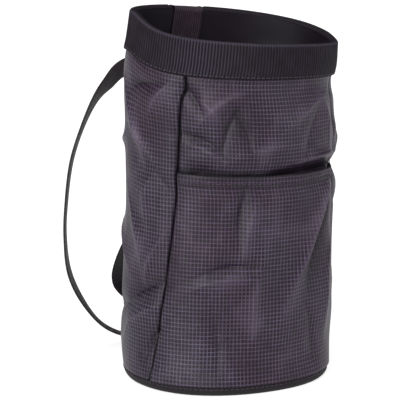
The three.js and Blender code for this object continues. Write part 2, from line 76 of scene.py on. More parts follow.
sections = asColumns(("up", "wide", "deep", "lean"), [
    (0.0, 0.99, 1.006, 0.0), (0.04, 0.998, 1.003, -0.004),
    (0.1, 1.002, 0.997, 0.004), (0.2, 1.014, 0.982, 0.022),
    (0.32, 1.0, 0.962, 0.03), (0.45, 0.993, 0.936, 0.05),
    (0.56, 0.993, 0.92, 0.06), (0.605, 0.98, 0.903, 0.046),
    (0.66, 0.99, 0.903, 0.06), (0.72, 0.99, 0.903, 0.06),
    (0.81, 0.988, 0.896, 0.052), (0.88, 0.972, 0.876, 0.042),
    (0.93, 0.97, 0.862, 0.075), (1.0, 0.958, 0.839, 0.1),
])

# seams between the front and the rest, in degrees from the middle of the front
seams = asColumns(("up", "left", "right"), [
    (0.0, -63.5, 69), (0.1, -61, 67),
    (0.26, -55.5, 62), (0.41, -52, 57),
    (0.56, -48.6, 56), (0.7, -46.6, 60),
    (0.9, -42.4, 60), (1.0, -41, 59),
])

# how far the bottom spreads past its oval, as a share of the half width
footSpread = asColumns(("at", "out"), [
    (-180, 0.0), (-118, -0.035),
    (-75, 0.01), (-45, 0.035),
    (0, 0.03), (33, 0.06),
    (50, 0.04), (68, -0.015),
    (90, -0.03), (180, 0.0),
])

mouthWaves = asColumns(("at", "rise"), [
    (-180, -0.03), (-155, 0),
    (-135, 0.03), (-108, 0.1),
    (-88, 0.17), (-68, -0.03),
    (-50, -0.085), (-10, -0.01),
    (25, 0.02), (60, -0.07),
    (77, -0.15), (98, -0.09),
    (125, -0.035), (180, -0.03),
])

# main folds: place, turn of the fold's line from upright, length and breadth as shares of the half width,
# and depth as a share of foldDepth, outward positive
folds = asColumns(("at", "up", "turn", "long", "broad", "deep"), [
    (-58, 0.873, 80, 0.3, 0.07, -0.6), (-76, 0.635, 128, 0.5, 0.13, -0.5),
    (-68, 0.56, 5, 0.3, 0.12, 0.4), (-70, 0.3, 62, 0.45, 0.13, -0.5),
    (-38, 0.842, 140, 0.25, 0.08, -0.6), (-26, 0.85, 50, 0.4, 0.1, 0.45),
    (-35, 0.705, 110, 0.3, 0.09, -0.45), (-16, 0.75, 12, 0.5, 0.1, -0.4),
    (14, 0.76, -8, 0.6, 0.3, 0.5), (62, 0.72, 80, 0.35, 0.12, 0.6),
    (66, 0.612, 90, 0.35, 0.06, -0.65), (72, 0.545, 85, 0.35, 0.12, 0.4),
    (-112, 0.77, 0, 0.8, 0.3, 0.25), (-13, 0.5, 9, 0.6, 0.08, -0.5),
    (-18, 0.355, 82, 0.4, 0.1, -0.6), (-16, 0.19, 0, 0.7, 0.3, -0.7),
    (28, 0.43, 28, 1.0, 0.1, 0.6), (36, 0.36, 26, 0.7, 0.11, -0.5),
    (42, 0.2, 2, 0.6, 0.14, 0.5),
])

# sharp creases of the cloth, in the same terms as the folds; depth in mm
creases = asColumns(("at", "up", "turn", "long", "broad", "deep"), [
    (-74, 0.845, 70, 0.5, 0.05, -1.3), (-60, 0.83, 38, 0.45, 0.045, 1.2),
    (-84, 0.74, 142, 0.7, 0.06, 1.3), (-70, 0.665, 130, 0.7, 0.05, 1.4),
    (-62, 0.62, 132, 0.6, 0.05, -1.2), (-72, 0.53, 4, 0.35, 0.05, 1.2),
    (-80, 0.44, 150, 0.6, 0.06, 1.0), (-66, 0.37, 24, 0.5, 0.05, 1.0),
    (-70, 0.285, 66, 0.55, 0.05, -1.3), (-76, 0.2, 58, 0.6, 0.06, 1.1),
    (-62, 0.15, 35, 0.45, 0.05, -1.0), (-38, 0.845, 140, 0.35, 0.04, -1.2),
    (-30, 0.82, 128, 0.35, 0.045, 1.1), (-22, 0.83, 55, 0.5, 0.045, 1.3),
    (-34, 0.72, 108, 0.45, 0.045, -1.3), (-30, 0.69, 112, 0.45, 0.05, 1.1),
    (-19, 0.755, 22, 0.5, 0.045, -1.2), (-10, 0.76, 160, 0.5, 0.045, -1.1),
    (0, 0.7, 76, 0.7, 0.05, 1.0), (24, 0.8, 60, 0.6, 0.05, 0.9),
    (38, 0.662, 88, 0.9, 0.035, 1.3), (30, 0.72, 15, 0.5, 0.05, -0.9),
    (48, 0.78, 165, 0.5, 0.05, 1.0), (-13, 0.52, 8, 0.55, 0.035, -1.2),
    (-8, 0.47, 12, 0.7, 0.05, 0.9), (-18, 0.365, 84, 0.5, 0.04, -1.2),
    (-22, 0.33, 80, 0.5, 0.05, 1.0), (-4, 0.27, 5, 0.9, 0.06, 1.1),
    (-24, 0.17, 172, 0.7, 0.05, -0.9), (33, 0.47, 27, 1.1, 0.04, 1.4),
    (39, 0.42, 25, 0.9, 0.04, -1.2), (20, 0.33, 30, 0.7, 0.05, 0.8),
    (46, 0.29, 12, 0.7, 0.05, 1.2), (32, 0.15, 170, 0.6, 0.05, -0.9),
    (80, 0.7, 70, 0.5, 0.05, 1.2), (86, 0.5, 100, 0.6, 0.05, -1.1),
    (92, 0.33, 60, 0.7, 0.06, 1.1), (120, 0.75, 120, 0.8, 0.06, 1.2),
    (132, 0.55, 55, 0.9, 0.06, -1.2), (125, 0.3, 130, 0.8, 0.06, 1.1),
    (165, 0.62, 95, 0.9, 0.06, 1.0), (172, 0.4, 30, 0.9, 0.06, -1.1),
    (-160, 0.28, 110, 0.9, 0.06, 1.1), (-145, 0.55, 140, 0.8, 0.06, -1.1),
    (-118, 0.64, 60, 0.8, 0.06, 1.2), (-112, 0.42, 120, 0.9, 0.06, 1.1),
    (-105, 0.2, 70, 0.8, 0.06, -1.1),
])

# how far the front sinks in behind the pocket's mouth and how far the pocket's edge stands out there, in mm
mouthGape = asColumns(("at", "sink", "gape"), [
    (-60, 0, 0), (-46, 0.8, 0.1),
    (-34, 2.8, 0.8), (-22, 1.6, 0.3),
    (-8, 0.9, 0.1), (6, 2.4, 0.6),
    (24, 4.2, 1.5), (42, 4.0, 1.6),
    (55, 1.4, 0.6), (70, 0, 0),
])


# smooth curve through a table's rows
def tableValue(table, column, place, placeColumn="up"):
    x, y = table[placeColumn], table[column]
    place = np.asarray(place, float)
    row = np.searchsorted(x[1:-1], place, side="left")
    low, high = np.maximum(np.arange(len(x)) - 1, 0), np.minimum(np.arange(len(x)) + 1, len(x) - 1)
    slope = (y[high] - y[low]) / (x[high] - x[low])
    span = x[row + 1] - x[row]
    t = np.clip((place - x[row]) / span, 0, 1)
    rise = y[row + 1] - y[row]
    bend = (1 - t) * (slope[row] * span - rise) - t * (slope[row + 1] * span - rise)
    return y[row] + t * rise + t * (1 - t) * bend


# distances along a line from its steps
def running(steps):
    return np.concatenate([[0], np.cumsum(steps)])


def smooth(value, low, high):
    t = np.clip((value - low) / (high - low), 0, 1)
    return t * t * (3 - 2 * t)


def hump(distance, reach):
    return np.exp(-((distance / reach) ** 2))


def nearFront(angle):
    return np.mod(angle + math.pi, 2 * math.pi) - math.pi


# the left seam is puckered just below the rim; shift in radians
seamKink = asColumns(("up", "shift"), [
    (0, 0), (0.6, -0.006),
    (0.76, -0.02), (0.815, -0.022),
    (0.84, -0.008), (0.856, 0.018),
    (0.88, 0.02), (0.9, 0),
])


def leftSeam(up):
    return np.radians(tableValue(seams, "left", up)) + tableValue(seamKink, "shift", up)


def rightSeam(up):
    return np.radians(tableValue(seams, "right", up))


clothStart = (form["bottomTurnUp"] + form["pieceGap"]) / form["height"]
clothEnd = 1 - (form["bandLip"] + form["pieceGap"]) / form["height"]
bandLow = 1 - form["bandHeight"] / form["height"]


# 1 in the open cloth, 0 at the bottom's edge and under the rim
def freedom(up):
    fromBottom = (up * form["height"] - form["bottomTurnUp"]) / form["foldFade"]
    fromBand = (bandLow - up) * form["height"] / form["foldFade"]
    return smooth(np.minimum(fromBottom, fromBand), 0, 1)


def foldRelief(angle, up, table, depth):
    relief = np.zeros_like(angle)
    for at, high, turn, long, broad, deep in zip(*table.values()):
        x = nearFront(angle - math.radians(at)) * form["halfWidth"]
        z = (up - high) * form["height"]
        turn = math.radians(turn)
        along = x * math.sin(turn) + z * math.cos(turn)
        aside = x * math.cos(turn) - z * math.sin(turn)
        size = hump(along, long * form["halfWidth"] / 2) * hump(aside, broad * form["halfWidth"])
        relief += deep * depth * size
    return relief


creaseGain = 2.4
creaseBow = 2.5  # mm that a crease bends aside towards its ends


# ridges and valleys with a sharp line, as stiff coated cloth folds
def creaseRelief(angle, up):
    relief = np.zeros_like(angle)
    for at, high, turn, long, broad, deep in zip(*creases.values()):
        x = nearFront(angle - math.radians(at)) * form["halfWidth"]
        z = (up - high) * form["height"]
        turn = math.radians(turn)
        along = (x * math.sin(turn) + z * math.cos(turn)) / (long * form["halfWidth"] / 2)
        aside = x * math.cos(turn) - z * math.sin(turn) - creaseBow * along ** 2
        relief += creaseGain * deep * hump(along, 1) * np.exp(-np.abs(aside) / (broad * form["halfWidth"]))
    return relief


def mainRelief(angle, up):
    relief = foldRelief(angle, up, folds, form["foldDepth"]) + creaseRelief(angle, up)
    for seam in (leftSeam(up), rightSeam(up)):
        relief -= form["seamPinch"] * hump(nearFront(angle - seam) * form["halfWidth"], form["seamReach"])
    return relief * freedom(up)


sinkFade = 11


def sinkRelief(angle, up):
    below = smooth(up, clothStart, form["mouthShare"]) ** 2
    above = 1 - smooth((up - form["mouthShare"]) * form["height"], 0, sinkFade)
    degrees = np.degrees(nearFront(angle))
    inside = (degrees > mouthGape["at"][0]) & (degrees < mouthGape["at"][-1])
    sink = np.where(inside, tableValue(mouthGape, "sink", degrees, "at"), 0)
    return -sink * np.minimum(0.2 + 0.8 * below, above) * freedom(up)


def sunkRelief(angle, up):
    return mainRelief(angle, up) + sinkRelief(angle, up)


# a point of the bag, in mm: angle from the middle of the front towards +X, share of the height, and
# distance outward from the outer cloth
def bagPoint(angle, up, outset, relief=mainRelief):
    halfWidth = form["halfWidth"] * tableValue(sections, "wide", up)
    halfDepth = form["halfDepth"] * tableValue(sections, "deep", up)
    x = halfWidth * np.sin(angle)
    y = -halfDepth * np.cos(angle)
    outX, outY = np.sin(angle) / halfWidth, -np.cos(angle) / halfDepth
    length = np.hypot(outX, outY)
    degrees = np.degrees(nearFront(angle))
    spread = form["halfWidth"] * tableValue(footSpread, "out", degrees, "at")
    push = outset + relief(angle, up) + spread * (1 - smooth(up * form["height"], 0, form["spreadFade"]))
    wave = tableValue(mouthWaves, "rise", degrees, "at")
    height = form["height"] * up
    slope = form["mouthRiseY"] * y - form["mouthFallX"] * x
    height = height + np.maximum(up, 0) ** form["slumpPower"] * slope
    height = height + smooth(up, form["waveStart"], bandLow) * form["bandHeight"] * wave
    # the strap draws the mouth's edge down where it passes over it
    fromStrap = np.abs(nearFront(angle - math.radians(strap["angle"])))
    pressed = 1 - smooth(fromStrap, *strap["pressReach"])
    height = height - strap["press"] * pressed * smooth(up, strap["pressFrom"], 1)
    lean = form["halfWidth"] * tableValue(sections, "lean", up)
    return np.stack([lean + x + outX / length * push, y + outY / length * push, height], axis=1)


# distance round the bag in mm, close to the ellipse's own length
def roundDistance(angle):
    half = (form["halfWidth"] + form["halfDepth"]) / 2
    uneven = (form["halfWidth"] - form["halfDepth"]) / 4
    return half * angle + uneven * np.sin(2 * angle)


# crumple of thin coated cloth: sharp-edged folds of a given size in mm, from -1 to 1
def crumple(angle, up, size, seed):
    across = roundDistance(angle) / size
    high = up * form["height"] / size / panels["crumpleStretch"]
    values = [
        noise.ridged_multi_fractal(Vector((a, b, seed)), 0.9, 2.1, 3, 0.9, 1.6) for a, b in zip(across, high)
    ]
    return np.clip(np.array(values) - 1, -1, 1)


# A grid of cloth whose points are put in place from their two shares. place gives the points in mm, their
# place on the flat cloth in mm and a tone: painted shade and darker patches below 0, painted highlight and
# paler patches above it.
def layCloth(name, columns, rows, place, joins=False, capped=False):
    bm = bmesh.new()
    bmesh.ops.create_grid(bm, x_segments=columns, y_segments=rows, size=0.5)
    bm.verts.index_update()
    shares = np.array([vertex.co[:2] for vertex in bm.verts]) + 0.5
    points, flat, tone = place(shares[:, 0], shares[:, 1])
    clothMap = bm.loops.layers.uv.new("cloth")
    toneLayer = bm.verts.layers.float.new("tone")
    for face in bm.faces:
        face.smooth = True
        for loop in face.loops:
            loop[clothMap].uv = flat[loop.vert.index]
    for vertex, point, shade in zip(bm.verts, points * mm, tone):
        vertex.co = point
        vertex[toneLayer] = shade
    if joins:
        bmesh.ops.remove_doubles(bm, verts=bm.verts, dist=1e-6)
        if capped:
            ends = [edge for edge in bm.edges if edge.is_boundary]
            bmesh.ops.holes_fill(bm, edges=ends, sides=0)
        bmesh.ops.recalc_face_normals(bm, faces=bm.faces)
    return finishMesh(name, bm)


def finishMesh(name, bm):
    mesh = bpy.data.meshes.new(name)
    bm.to_mesh(mesh)
    bm.free()
    piece = bpy.data.objects.new(name, mesh)
    bpy.context.collection.objects.link(piece)
    return piece


def giveWall(piece, thickness):
    wall = piece.modifiers.new("wall", "SOLIDIFY")
    wall.thickness = thickness * mm
    wall.offset = -1
    wall.use_even_offset = True


def dress(piece, material, slotName, *nodes, wall=0):
    if wall:
        giveWall(piece, wall)
    piece.data.materials.append(material)
    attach(piece, "root")
    if nodes:
        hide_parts(*nodes)
    return piece


# A node given as an input stands for its first live output, and a string for the colour it names.
def addNode(tree, kind, inputs=None, **settings):
    node = tree.nodes.new("ShaderNode" + kind)
    for key, value in settings.items():
        setattr(node, key, value)
    for key, value in (inputs or {}).items():
        if isinstance(value, bpy.types.Node):
            value = next(output for output in value.outputs if output.enabled)
        if isinstance(value, str):
            value = linear(value)
        if isinstance(value, bpy.types.NodeSocket):
            tree.links.new(value, node.inputs[key])
        else:
            node.inputs[key].default_value = value
    return node


def newMaterial(name):
    material = bpy.data.materials.new(name)
    material.use_nodes = True
    material.node_tree.nodes.clear()
    return material, material.node_tree


# ends a material: its surface, roughened by a height that is given in shares of a distance in mm
def setSurface(tree, inputs, height, strength, distance):
    bump = addNode(tree, "Bump", {"Height": height, "Strength": strength, "Distance": distance * mm})
    shader = addNode(tree, "BsdfPrincipled", {"Normal": bump, **inputs})
    addNode(tree, "OutputMaterial", {"Surface": shader})


# Coated nylon ripstop: plain weave with a thicker thread every few mm, calendered and coated, so it has a
# soft satin gloss and crisp creases, and the thick threads stand proud and catch the light.
ripstopLook = {
    "cell": "#0d0810",
    "thread": "#443a4a",
    "knot": "#54495b",
    "across": 2.4,  # mm between upright threads
    "high": 2.7,  # mm between level threads
    "threadHalf": 0.46,  # half width in mm, drawn coarser than a real thread so that it shows
    "roughness": 0.46,
    "gloss": 0.2,
    "sheen": 0.03,
}


def ripstopNylon(name, look):
    material, tree = newMaterial(name)
    cloth = addNode(tree, "UVMap", uv_map="cloth")
    place = addNode(tree, "SeparateXYZ", {"Vector": cloth})
    masks = []
    for axis, period, scale in (("X", look["across"], (0.9, 0.07, 1)), ("Y", look["high"], (0.07, 0.9, 1))):
        count = addNode(tree, "Math", {0: place.outputs[axis], 1: 1 / period}, operation="MULTIPLY")
        away = addNode(tree, "Math", {0: count, 1: 0.5}, operation="PINGPONG")
        edge = look["threadHalf"] / period * 1.5
        thread = addNode(
            tree, "MapRange", {"Value": away, "From Min": 0, "From Max": edge, "To Min": 1, "To Max": 0},
            interpolation_type="SMOOTHSTEP")
        # threads thin out a little along their way
        stretch = addNode(tree, "Mapping", {"Vector": cloth, "Scale": scale})
        patchy = addNode(tree, "TexNoise", {"Vector": stretch, "Scale": 1, "Detail": 2})
        fade = addNode(tree, "MapRange", {
            "Value": patchy, "From Min": 0.3, "From Max": 0.62, "To Min": 0.45, "To Max": 1})
        masks.append(addNode(tree, "Math", {0: thread, 1: fade}, operation="MULTIPLY"))
    grid = addNode(tree, "Math", {0: masks[0], 1: masks[1]}, operation="MAXIMUM")
    knots = addNode(tree, "Math", {0: masks[0], 1: masks[1]}, operation="MULTIPLY")
    sway = addNode(tree, "TexNoise", {"Vector": cloth, "Scale": 0.16, "Detail": 2})
    cell = linear(look["cell"])
    shade = addNode(tree, "Mix", {0: sway, 6: cell, 7: [c * 1.25 for c in cell]}, data_type="RGBA")
    threads = addNode(tree, "Mix", {0: grid, 6: shade, 7: look["thread"]}, data_type="RGBA")
    lit = addNode(tree, "Mix", {0: knots, 6: threads, 7: look["knot"]}, data_type="RGBA")
    # the dye and coating vary in broad soft patches, from plum to a bluish grey
    patch = addNode(tree, "TexNoise", {"Vector": cloth, "Scale": 0.016, "Detail": 3, "Roughness": 0.6})
    patches = addNode(
        tree, "MapRange", {"Value": patch, "From Min": 0.38, "From Max": 0.62, "To Min": 0, "To Max": 1})
    tint = addNode(tree, "Mix", {0: patches, 6: "#e2cbdc", 7: "#f4fbff"}, data_type="RGBA")
    uneven = addNode(tree, "Mix", {0: 1, 6: lit, 7: tint}, data_type="RGBA", blend_type="MULTIPLY")
    # the tone attribute paints shade in the near black and highlight in the pale colour, besides random
    # patches
    colour = toned(tree, uneven, "#050306", "#4f4655")
    weave = addNode(tree, "TexWave", {"Vector": cloth, "Scale": 0.5 * math.pi},
                    wave_type="BANDS", bands_direction="DIAGONAL")
    creased = addNode(tree, "TexNoise", {"Vector": cloth, "Scale": 0.11, "Detail": 5, "Roughness": 0.55})
    relief = addNode(tree, "Math", {0: grid, 1: 0.12, 2: creased}, operation="MULTIPLY_ADD")
    height = addNode(tree, "Math", {0: weave.outputs["Fac"], 1: 0.02, 2: relief}, operation="MULTIPLY_ADD")
    setSurface(tree, {
        "Base Color": colour, "Roughness": look["roughness"], "Specular IOR Level": look["gloss"],
        "Sheen Weight": look["sheen"], "Sheen Roughness": 0.4, "IOR": 1.53, "Sheen Tint": "#b9aec0",
    }, height, 0.5, 1.1)
    return material


# darkens a colour where the tone attribute is below 0 and lightens it where it is above: painted shade and
# painted highlight, and on the cloth panels random darker and paler patches too
def toned(tree, colour, dark, paleAndPaintedLight):
    tone = addNode(tree, "Attribute", attribute_name="tone").outputs["Fac"]
    for sign, end in ((-1, dark), (1, paleAndPaintedLight)):
        share = addNode(tree, "Math", {0: tone, 1: sign}, operation="MULTIPLY", use_clamp=True)
        colour = addNode(tree, "Mix", {0: share, 6: colour, 7: end}, data_type="RGBA")
    return colour


# Woven webbing of nylon or polyester: ribs of yarn with dark gaps between them.
def ribbedWebbing(name, look):
    material, tree = newMaterial(name)
    cloth = addNode(tree, "UVMap", uv_map="cloth")
    place = addNode(tree, "SeparateXYZ", {"Vector": cloth})
    waves = []
    for axis, period in (("X", look["rib"]), ("Y", look["pick"])):
        count = addNode(tree, "Math", {0: place.outputs[axis], 1: 1 / period}, operation="MULTIPLY")
        waves.append(addNode(tree, "Math", {0: count, 1: 0.5}, operation="PINGPONG"))
    rib = addNode(
        tree, "MapRange", {"Value": waves[0], "From Min": 0, "From Max": 0.5, "To Min": 1, "To Max": 0},
        interpolation_type="SMOOTHSTEP")
    patchy = addNode(tree, "TexNoise", {"Vector": cloth, "Scale": 0.12, "Detail": 3})
    full = addNode(
        tree, "MapRange", {"Value": patchy, "From Min": 0.35, "From Max": 0.65, "To Min": 0.45, "To Max": 1})
    strength = addNode(tree, "Math", {0: rib, 1: full}, operation="MULTIPLY")
    ribs = addNode(tree, "Mix", {0: strength, 6: look["gap"], 7: look["yarn"]}, data_type="RGBA")
    # the tone attribute paints shade in the gap colour and highlight in the pale colour
    colour = toned(tree, ribs, look["gap"], look["paleAndPaintedLight"])
    height = addNode(tree, "Math", {0: waves[1], 1: 0.5, 2: rib}, operation="MULTIPLY_ADD")
    setSurface(tree, {
        "Base Color": colour, "Roughness": look["roughness"], "Specular IOR Level": look["gloss"],
        "Sheen Weight": look["sheen"], "Sheen Roughness": 0.5, "IOR": 1.5, "Sheen Tint": "#a9a3b4",
    }, height, 0.7, look["relief"])
    return material


# Fine plain-woven cloth: no rib shows, only a soft grain and faint uneven dye.
def plainCloth(name, look):
    material, tree = newMaterial(name)
    cloth = addNode(tree, "UVMap", uv_map="cloth")
    grain = addNode(tree, "TexNoise", {"Vector": cloth, "Scale": 1 / look["grain"], "Detail": 2})
    blotch = addNode(tree, "TexNoise", {"Vector": cloth, "Scale": 0.04, "Detail": 3})
    mixed = addNode(tree, "Math", {0: grain, 1: blotch}, operation="MULTIPLY")
    dyed = addNode(tree, "Mix", {0: mixed, 6: look["deep"], 7: look["light"]}, data_type="RGBA")
    height = addNode(tree, "Math", {0: grain, 1: 0.15, 2: blotch}, operation="MULTIPLY_ADD")
    setSurface(tree, {
        "Base Color": toned(tree, dyed, look["deep"], look["light"]), "Roughness": look["roughness"],
        "Specular IOR Level": look["gloss"], "Sheen Weight": look["sheen"], "IOR": 1.5,
    }, height, 0.6, look["relief"])
    return material


# Moulded acetal: near black, low gloss, with the fine spark-eroded grain of its mould.
def mouldedAcetal(name, look):
    material, tree = newMaterial(name)
    place = addNode(tree, "TexCoord").outputs["Object"]
    grain = addNode(tree, "TexNoise", {"Vector": place, "Scale": 1 / (look["grain"] * mm), "Detail": 3})
    wearAndPaintedCreaseShading = addNode(tree, "TexNoise", {"Vector": place, "Scale": 1 / (9 * mm), "Detail": 2})
    colour = addNode(tree, "Mix", {0: wearAndPaintedCreaseShading, 6: look["deep"], 7: look["light"]}, data_type="RGBA")
    gloss = addNode(tree, "MapRange", {"Value": wearAndPaintedCreaseShading, "To Min": 0.36, "To Max": 0.52})
    setSurface(tree, {"Base Color": colour, "Roughness": gloss, "IOR": 1.48}, grain, 0.35, 0.05)
    return material


ripstop = ripstopNylon("ripstopNylon", ripstopLook)
rimWebbing = ribbedWebbing("rimWebbing", {
    "gap": "#030205", "yarn": "#211824", "paleAndPaintedLight": "#403b48", "rib": 2.1, "pick": 0.9,
    "relief": 0.35, "roughness": 0.6, "gloss": 0.13, "sheen": 0.0})
strapWebbing = ribbedWebbing("strapWebbing", {
    "gap": "#150f17", "yarn": "#3c3038", "paleAndPaintedLight": "#463e46", "rib": 1.5, "pick": 0.9,
    "relief": 0.25, "roughness": 0.6, "gloss": 0.16, "sheen": 0.02})
beltWebbing = ribbedWebbing("beltWebbing", {
    "gap": "#120f11", "yarn": "#453d43", "paleAndPaintedLight": "#544d53", "rib": 1.3, "pick": 1.1,
    "relief": 0.22, "roughness": 0.6, "gloss": 0.2, "sheen": 0.03})
liningCloth = plainCloth("liningTaffeta", {
    "deep": "#0b070d", "light": "#221a27", "grain": 0.8, "relief": 0.5, "roughness": 0.5, "gloss": 0.2,
    "sheen": 0.01})
baseCloth = plainCloth("baseNylon", {
    "deep": "#080608", "light": "#211c21", "grain": 0.9, "relief": 0.5, "roughness": 0.7, "gloss": 0.2,
    "sheen": 0.02})
sewingThread = ribbedWebbing("bondedThread", {
    "gap": "#120c14", "yarn": "#4a3d4e", "paleAndPaintedLight": "#564a5a", "rib": 0.5, "pick": 0.5,
    "relief": 0.1, "roughness": 0.45, "gloss": 0.35, "sheen": 0.0})
acetal = mouldedAcetal("mouldedAcetal", {"deep": "#101013", "light": "#1e1d20", "grain": 0.3})
print("materials made")


# Cloth panels
panels = {
    "wall": 0.9,
    "edgeRoll": 1.4,  # mm that a panel's edge turns in at its seams
    "edgeReach": 1.8,
    # painted shade along the seams, fading out over seamLine
    "seamShade": 0.9,
    "seamLine": (0.2, 1.9),  # mm from the seam over which its shade fades
    # painted highlight on the crease ridges and painted shade in their hollows
    "wearAndPaintedCreaseShading": 0.16,
    "patchy": 0.3,
    "patchSize": 34,
    # painted shade around the pocket's mouth
    "lipShade": 0.75,
    "lipReach": 2.2,
    "frontColumns": 170,
    "sideColumns": 240,
    "rows": 190,
    "crumple": 0.35,  # mm
    "crumpleSize": 26,
    "crumpleStretch": 1.6,
    "calmEdge": 9,  # mm beside a seam in which the crumple dies out
}


# shares drawn closer together at both ends
def crowdEnds(s, strength=0.55):
    return s - strength * np.sin(2 * math.pi * s) / (2 * math.pi)


def placePanel(isFront, lowUp, highUp, outset, relief, seed):
    def place(s, t):
        up = lowUp + (highUp - lowUp) * t
        start = leftSeam(up) if isFront else rightSeam(up)
        end = rightSeam(up) if isFront else leftSeam(up) + 2 * math.pi
        inset = form["pieceGap"] / form["halfDepth"]
        angle = start + inset + (end - start - 2 * inset) * crowdEnds(s)
        fromEdge = np.minimum(angle - start, end - angle) * form["halfDepth"]
        roll = panels["edgeRoll"] * (1 - smooth(fromEdge, 0, panels["edgeReach"]))
        small = crumple(angle, up, panels["crumpleSize"], seed) * panels["crumple"]
        small = small * smooth(fromEdge, 0, panels["calmEdge"]) * freedom(up)
        points = bagPoint(angle, up, outset(angle, up) + small - roll, relief)
        flat = np.stack([roundDistance(angle), up * form["height"]], axis=1)
        # painted shade along the seams, where the cloth turns in
        tone = -panels["seamShade"] * (1 - smooth(fromEdge, *panels["seamLine"]))
        # painted light and shade: ridges are drawn paler and hollows darker, in line with the creases
        tone = tone + panels["wearAndPaintedCreaseShading"] * creaseRelief(angle, up) * freedom(up)
        tone = tone + panels["patchy"] * crumple(angle, up, panels["patchSize"], seed + 11)
        # painted shade: the cloth is drawn darker around the pocket's mouth, where the front goes in behind
        # the lip, and just below the hem's edge
        aboveMouth = (up - form["mouthShare"]) * form["height"]
        if isFront:
            tone = tone - panels["lipShade"] * hump(aboveMouth - 0.5, panels["lipReach"])
            tone = tone - pocket["hemShade"] * hump(aboveMouth + pocket["hem"] + 0.3, pocket["hemLine"])
        return points, flat, np.clip(tone, -0.95, 1)
    return place


def makeFront():
    place = placePanel(True, clothStart, clothEnd, lambda angle, up: 0, sunkRelief, 3.1)
    piece = layCloth("front_cloth", panels["frontColumns"], panels["rows"], place)
    return dress(piece, ripstop, "ripstop_front", "front_panel", wall=panels["wall"])


def makeSides():
    place = placePanel(False, clothStart, clothEnd, lambda angle, up: 0, mainRelief, 7.7)
    piece = layCloth("side_cloth", panels["sideColumns"], panels["rows"], place)
    return dress(piece, ripstop, "ripstop_side", "back_panel", wall=panels["wall"])


pocket = {
    "hem": 7,
    "hemExtra": 0.5,
    # painted shade just below the hem's edge
    "hemShade": 0.5,
    "hemLine": 0.9,
    "groove": 0.35,
    "lipRound": 0.5,
    "standOff": 1.1,
    "gapeFrom": 0.55,  # share of the pocket's height above which it stands open
    "columns": 170,
    "rows": 150,
}


def pocketOutset(angle, up):
    fromMouth = (form["mouthShare"] - up) * form["height"]
    opened = smooth(up, form["mouthShare"] * pocket["gapeFrom"], form["mouthShare"])
    gape = tableValue(mouthGape, "gape", np.degrees(nearFront(angle)), "at")
    hem = pocket["hemExtra"] * (1 - smooth(fromMouth, pocket["hem"] - 0.5, pocket["hem"] + 0.5))
    groove = pocket["groove"] * hump(fromMouth - pocket["hem"] + 1.2, 0.5)
    lip = pocket["lipRound"] * (1 - smooth(fromMouth, 0, 0.9)) ** 2
    return form["pieceGap"] + pocket["standOff"] + gape * opened + hem - groove - lip


def makePocket():
    place = placePanel(True, clothStart, form["mouthShare"], pocketOutset, mainRelief, 5.3)
    piece = layCloth("pocket_cloth", pocket["columns"], pocket["rows"], place)
    return dress(piece, ripstop, "ripstop_front", "pocket_panel", wall=panels["wall"])


ring = {
    "inwardStep": 60,  # mm that the whole way in to the middle counts along a profile
    "gather": 0.9,  # how far the flat cloth narrows at the middle
}


# Profiles that run round the whole bag: rows of (up in mm, outset in mm, share of the way in to the middle)
def placeRing(profile, relief=mainRelief, tone=None):
    names = ("high", "outset", "inward")
    table = asColumns(names, profile)
    sideways = np.diff(table["outset"]) + ring["inwardStep"] * np.diff(table["inward"])
    steps = np.hypot(np.diff(table["high"]), sideways)
    distance = running(steps)

    def place(s, t):
        along = t * distance[-1]
        high, outset, inward = [np.interp(along, distance, table[name]) for name in names]
        up = high / form["height"]
        angle = (s * 2 - 1) * math.pi
        points = bagPoint(angle, up, outset, relief)
        lean = form["halfWidth"] * tableValue(sections, "lean", up)
        middle = np.stack([lean, np.zeros_like(lean), high], axis=1)
        points = points + (middle - points) * inward[:, None]
        flat = np.stack([roundDistance(angle) * (1 - ring["gather"] * inward), along], axis=1)
        shade = np.zeros_like(s) if tone is None else tone(angle, along)
        return points, flat, shade
    return place


def arc(highCentre, outCentre, radius, start, end, steps):
    turns = [math.radians(start + (end - start) * i / steps) for i in range(steps + 1)]
    return [(highCentre + radius * math.sin(a), outCentre + radius * math.cos(a), 0) for a in turns]


base = {
    "wall": 1.0,
    "columns": 260,
    "rows": 90,
}


def makeBase():
    radius = form["cornerRadius"]
    profile = [
        (0, -radius, 1), (0, -radius, 0.5), *arc(radius, -radius, radius, -90, 0, 8),
        (form["bottomTurnUp"], 0, 0),
    ]
    piece = layCloth("base_cloth", base["columns"], base["rows"], placeRing(profile), joins=True)
    return dress(piece, baseCloth, "base_cloth", "base_panel", wall=base["wall"])


inside = {
    "low": 2,  # mm from the ground
    "outset": -2.3,
    "wall": 0.6,
    "columns": 240,
    "rows": 170,
}


def makeLining():
    low, out = inside["low"], inside["outset"]
    radius = form["cornerRadius"] - low
    profile = [
        (low, out - radius, 1), (low, out - radius, 0.5),
        *arc(low + radius, out - radius, radius, -90, 0, 6),
        (form["height"] * clothEnd, out, 0),
    ]
    piece = layCloth("lining_cloth", inside["columns"], inside["rows"], placeRing(profile, sunkRelief),
                     joins=True)
    return dress(piece, liningCloth, "lining_cloth", "lining", wall=inside["wall"])


rim = {
    "outset": 1.7,
    "under": 0.3,
    "inside": -3.05,
    "insideLeg": 3.4,
    "columns": 1240,
    "rows": 44,
    "rib": 2.1,
    "ribRelief": 0.2,
    "wall": 1.2,
    # painted highlight along the top fold and painted shade along the lower edge
    "foldHighlight": 0.6,
    "seamShade": 0.5,
    "bendAt": -38,  # degrees, where the webbing bends at the left of the front
    "bendReach": 0.32,
    # painted highlight on the ribs beside the bend
    "bendLight": 0.45,
    "outside": (0.02, 0.46),  # shares of the profile on its outer face
}


def ribShare(distance):
    return 0.5 + 0.5 * np.cos(2 * math.pi * distance / rim["rib"])


